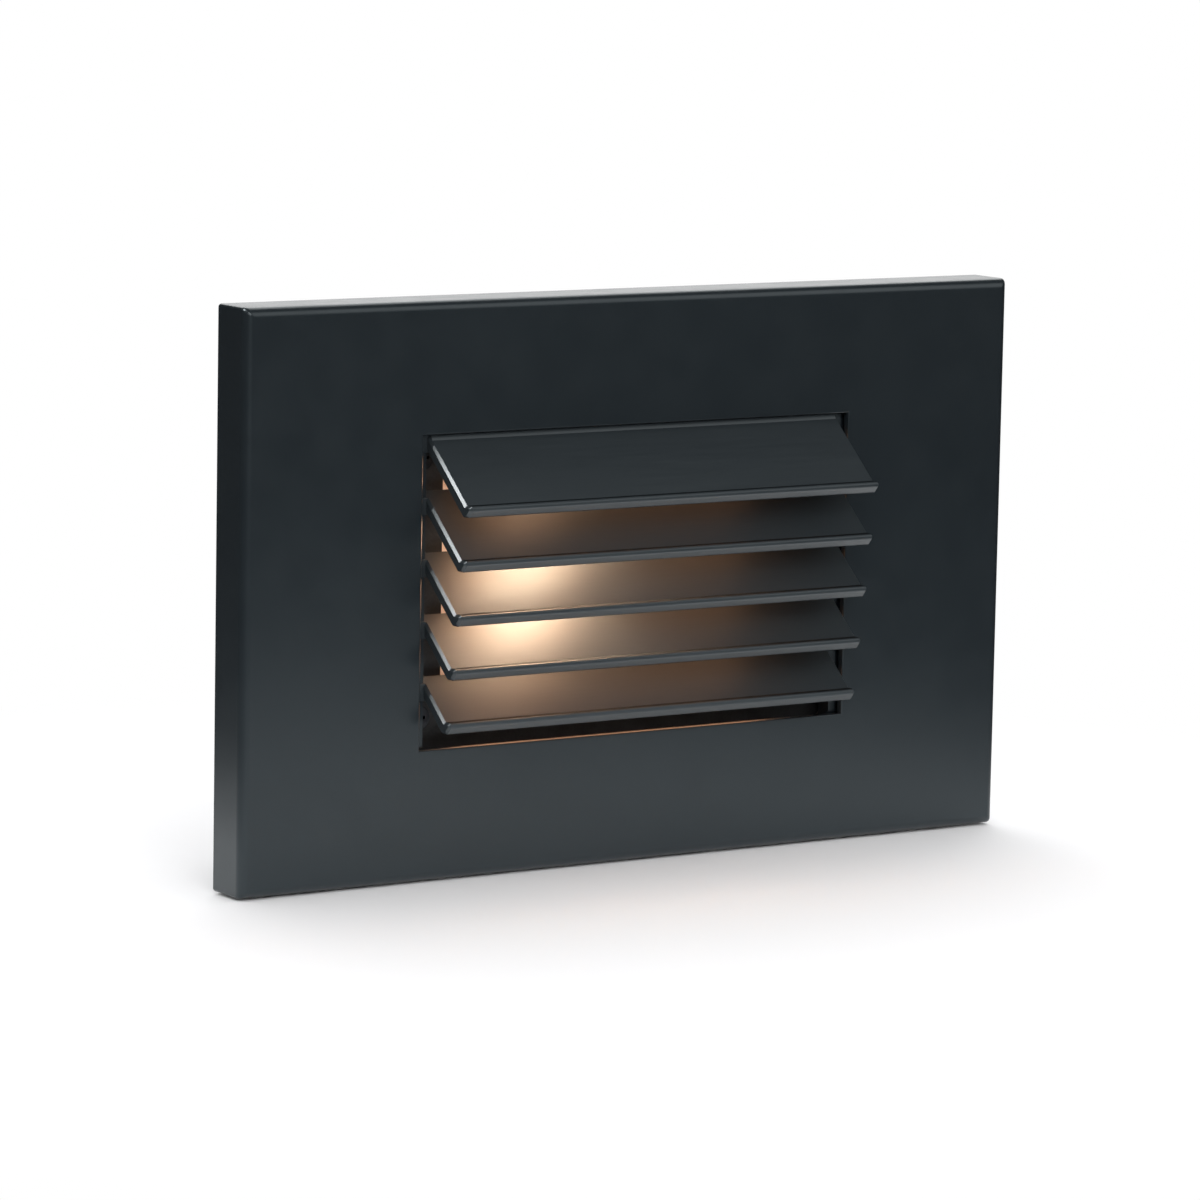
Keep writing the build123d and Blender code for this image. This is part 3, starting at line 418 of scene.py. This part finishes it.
# ---------------------------------------------------------------- junction box screws
SCREW_HEAD_R = 3.45 * MM
SCREW_HEAD_H = 2.2 * MM
SCREW_HEAD_ROUND = 0.5 * MM
SCREW_NECK_R = 1.5 * MM
THREAD_R = 1.75 * MM
THREAD_ROOT_R = 1.36 * MM
THREAD_PITCH = 25.4 / 32 * MM
THREAD_CREST = 0.12 * MM  # flat at the top of the thread, along the screw
THREAD_END = 1.2 * MM  # the thread runs out over this length at the screw's end
RECESS_ARM = 2.0 * MM  # from the middle of the cross to the end of an arm
RECESS_WIDTH = 0.62 * MM
RECESS_DEPTH = 1.35 * MM
RECESS_TAPER = 0.55  # reach of the arms at the bottom, as a share of that at the top
RECESS_LEAD = 0.2 * MM  # the cutter starts this far in front of the head
CROWN_STEPS = 4  # facets across the head's rounded edge
SLICES_PER_PITCH = 8
ROUND_STEPS = 32
ROUND_ANGLES = [tau * step / ROUND_STEPS for step in range(ROUND_STEPS)]
CRISP_ANGLE = pi / 5  # edges that turn by more than this stay sharp


def as_object(mesh, name):
    """Makes a scene object of a bmesh and frees it."""
    bmesh.ops.recalc_face_normals(mesh, faces=mesh.faces)
    data = bpy.data.meshes.new(name)
    mesh.to_mesh(data)
    mesh.free()
    made = bpy.data.objects.new(name, data)
    bpy.context.scene.collection.objects.link(made)
    return made


def add_turned(mesh, centre, rows):
    """Adds a closed solid round the Y axis through centre; a row is a Y and a radius for each angle."""
    rings = []
    for y, radii in rows:
        ring = []
        for radius, angle in zip(radii, ROUND_ANGLES):
            x = centre.x + radius * cos(angle)
            z = centre.z + radius * sin(angle)
            ring.append(mesh.verts.new((x, y, z)))
        rings.append(ring)
    for ring, following in zip(rings, rings[1:]):
        for step in range(ROUND_STEPS):
            after = (step + 1) % ROUND_STEPS
            mesh.faces.new((ring[step], ring[after], following[after], following[step]))
    mesh.faces.new(reversed(rings[0]))
    mesh.faces.new(rings[-1])


def add_head(mesh, centre, top):
    """Adds the pan head, with a plain neck from its seat to the wall plane."""
    seat = top + SCREW_HEAD_H
    profile = []
    for step in range(CROWN_STEPS + 1):
        turn = pi / 2 * step / CROWN_STEPS
        profile.append((top + SCREW_HEAD_ROUND * (1 - cos(turn)),
                        SCREW_HEAD_R - SCREW_HEAD_ROUND * (1 - sin(turn))))
    profile += [(seat, SCREW_HEAD_R), (seat, SCREW_NECK_R), (WALL, SCREW_NECK_R)]
    add_turned(mesh, centre, [(y, [radius] * ROUND_STEPS) for y, radius in profile])


def thread_radius(y, angle, start, stop):
    """Radius of the threaded shaft at this Y and angle: a helix with flat crests and roots."""
    turn = ((y - start) / THREAD_PITCH - angle / tau) % 1.0
    flank = abs(turn - 0.5) * 2
    crest = THREAD_CREST / THREAD_PITCH
    height = min(1.0, max(0.0, (1.0 - flank - crest * 0.5) / (1.0 - 2 * crest)))
    fade = min(1.0, max(0.0, (stop - y) / THREAD_END), max(0.0, (y - start) / THREAD_PITCH))
    return THREAD_ROOT_R + (THREAD_R - THREAD_ROOT_R) * height * fade


def add_threaded_shaft(mesh, centre, start, stop):
    """Adds a closed shaft whose slices follow the helix."""
    slices = int((stop - start) / THREAD_PITCH * SLICES_PER_PITCH)
    rows = []
    for number in range(slices + 1):
        y = start + (stop - start) * number / slices
        rows.append((y, [thread_radius(y, angle, start, stop) for angle in ROUND_ANGLES]))
    add_turned(mesh, centre, rows)


def recess_cutter(centre, top):
    """A tapered cross, driven into the head from its top."""
    mesh = bmesh.new()
    for turn in (0, pi / 2):
        corners = []
        for depth, share in ((-RECESS_LEAD, 1.0), (RECESS_DEPTH, RECESS_TAPER)):
            for across, along in ((-1, -1), (1, -1), (1, 1), (-1, 1)):
                x = across * RECESS_ARM * share
                z = along * RECESS_WIDTH * 0.5
                corners.append(mesh.verts.new((centre.x + x * cos(turn) - z * sin(turn), top + depth,
                                               centre.z + x * sin(turn) + z * cos(turn))))
        near, far = corners[:4], corners[4:]
        mesh.faces.new(near)
        mesh.faces.new(reversed(far))
        for side in range(4):
            after = (side + 1) % 4
            mesh.faces.new((near[after], near[side], far[side], far[after]))
    return as_object(mesh, "recess_cutter")


def junction_box_screw(name, x, finish):
    """One pan head screw with a cross recess and a real thread."""
    centre = Vector((x, WALL, (SCREWS_LOW.z + SCREWS_HIGH.z) / 2))
    head = bmesh.new()
    add_head(head, centre, SCREWS_LOW.y)
    made = as_object(head, name)
    cutter = recess_cutter(centre, SCREWS_LOW.y)
    cut = made.modifiers.new("recess", "BOOLEAN")
    cut.operation = "DIFFERENCE"
    cut.solver = "EXACT"
    cut.use_self = True
    cut.object = cutter
    whole = bmesh.new()
    whole.from_object(made, bpy.context.evaluated_depsgraph_get())
    add_threaded_shaft(whole, centre, WALL, SCREWS_HIGH.y)
    made.modifiers.remove(cut)
    whole.to_mesh(made.data)
    whole.free()
    bpy.data.objects.remove(cutter)
    made.data.materials.append(finish.material)
    made.data.shade_smooth()
    smooth = made.modifiers.new("crisp_edges", "EDGE_SPLIT")
    smooth.split_angle = CRISP_ANGLE
    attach(made, "housing")
    return made


def junction_box_screws(finish):
    """The left and right screw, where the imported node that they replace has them."""
    reach = (SCREWS_HIGH.x - SCREWS_LOW.x) / 2 - SCREW_HEAD_R
    middle = (SCREWS_HIGH.x + SCREWS_LOW.x) / 2
    for name, side in (("junction_box_screw_left", -1), ("junction_box_screw_right", 1)):
        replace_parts(junction_box_screw(name, middle + side * reach, finish), "junction_box_screws")


# ---------------------------------------------------------------- studio
def floor_finish():
    """Lit near the plate and plain white further off; clear from below, where the set screws are."""
    finish = Finish("floor", Base_Color=(*FLOOR_COLOUR, 1.0), Roughness=0.9)
    distance = finish.vector("LENGTH", finish.place, output="Value")
    far = finish.between(distance, 0.0, 1.0, FLOOR_NEAR, FLOOR_FAR)
    seen = finish.add("ShaderNodeLightPath").outputs["Is Camera Ray"]
    white = finish.add("ShaderNodeEmission")
    finish.link(finish.between(seen, FLOOR_FAR_BOUNCE, 1.0, 0.0, 1.0), white.inputs["Strength"])
    above = finish.mix_shaders(far, finish.shader.outputs[0], white.outputs[0])
    below = finish.add("ShaderNodeBsdfTransparent").outputs[0]
    from_below = finish.add("ShaderNodeNewGeometry").outputs["Backfacing"]
    surface = finish.mix_shaders(from_below, above, below)
    finish.link(surface, finish.tree.nodes["Material Output"].inputs["Surface"])
    return finish


def studio_floor():
    """Pale floor under the plate. It is neutral in the photograph, so the lens's light spares it."""
    mesh = bmesh.new()
    bmesh.ops.create_grid(mesh, x_segments=1, y_segments=1, size=FLOOR_SIZE / 2)
    floor = as_object(mesh, "floor")
    floor.location = (PLATE_MIDDLE.x - FLOOR_LEFT, PLATE_MIDDLE.y - FLOOR_FORWARD,
                      PLATE_LOW.z - FLOOR_DROP)
    floor.data.materials.append(floor_finish().material)
    spared = bpy.data.collections.new("spared_by_lens")
    spared.objects.link(floor)
    spared.collection_objects[0].light_linking.link_state = "EXCLUDE"
    NODES["lens"].light_linking.receiver_collection = spared


def studio_world():
    """White to the camera, an even fill on matt surfaces, and a dark room with a window in sheens."""
    world = bpy.data.worlds.new("studio")
    world.use_nodes = True
    bpy.context.scene.world = world
    nodes = Nodes(world.node_tree)
    ray = nodes.add("ShaderNodeLightPath")
    direction = nodes.add("ShaderNodeTexCoord").outputs["Generated"]
    window_middle = Vector(WINDOW_DIRECTION).normalized()
    towards_window = nodes.vector("DOT_PRODUCT", direction, window_middle, output="Value")
    window = nodes.between(towards_window, 0.0, 1.0, WINDOW_EDGE, WINDOW_FULL)
    reflected = nodes.blend(window, WORLD_DARK, WORLD_WINDOW)
    unseen = nodes.blend(ray.outputs["Is Glossy Ray"], (WORLD_FILL,) * 3, reflected)
    colour = nodes.blend(ray.outputs["Is Camera Ray"], unseen, (1.0, 1.0, 1.0))
    nodes.link(colour, world.node_tree.nodes["Background"].inputs["Color"])


def lamps():
    """Square softboxes, turned towards the plate's middle."""
    for name, direction, distance, width, watts, sheens_only in LAMPS:
        data = bpy.data.lights.new(name, "AREA")
        data.size = width
        data.energy = watts
        towards = Vector(direction).normalized()
        lamp = bpy.data.objects.new(name, data)
        lamp.location = PLATE_MIDDLE + towards * distance
        lamp.rotation_mode = "QUATERNION"
        lamp.rotation_quaternion = towards.to_track_quat("Z", "Y")
        lamp.visible_diffuse = not sheens_only
        bpy.context.scene.collection.objects.link(lamp)


def photo_camera():
    """The camera of the photograph, placed about the middle of the plate's back."""
    towards = Vector((-sin(CAMERA_YAW) * cos(CAMERA_PITCH), -cos(CAMERA_YAW) * cos(CAMERA_PITCH),
                      sin(CAMERA_PITCH)))
    level = Vector((cos(CAMERA_YAW), -sin(CAMERA_YAW), 0.0))
    upright = towards.cross(level)
    right = level * cos(CAMERA_ROLL) + upright * sin(CAMERA_ROLL)
    up = upright * cos(CAMERA_ROLL) - level * sin(CAMERA_ROLL)
    data = bpy.data.cameras.new("camera")
    data.lens = CAMERA_LENS
    data.sensor_width = CAMERA_SENSOR
    data.clip_start = CAMERA_NEAR
    data.clip_end = 2 * FLOOR_SIZE
    camera = bpy.data.objects.new("camera", data)
    turn = Matrix((right, up, towards)).transposed().to_4x4()
    place = PLATE_BACK + towards * CAMERA_DISTANCE + right * CAMERA_RIGHT + up * CAMERA_UP
    camera.matrix_world = Matrix.Translation(place) @ turn
    bpy.context.scene.collection.objects.link(camera)
    bpy.context.scene.camera = camera


# ---------------------------------------------------------------- the scene
bpy.context.scene.view_settings.view_transform = "Standard"
FINISHES = {
    "dark_paint": dark_paint(),
    "blades": blade_paint(),
    "dark_steel": dark_steel(),
    "bright_steel": bright_steel(),
    "earth_green": earth_green(),
    "cast_aluminium": cast_aluminium(),
    "foam": foam(),
    "frosted_lens": frosted_lens(),
    "green_board": green_board(),
    "phosphor": phosphor(),
    "silicone": silicone(),
    **{slot: mottled(slot, *looks) for slot, looks in MOTTLED.items()},
}
dress_nodes(FINISHES)
junction_box_screws(FINISHES["bright_steel"])
studio_floor()
studio_world()
lamps()
photo_camera()
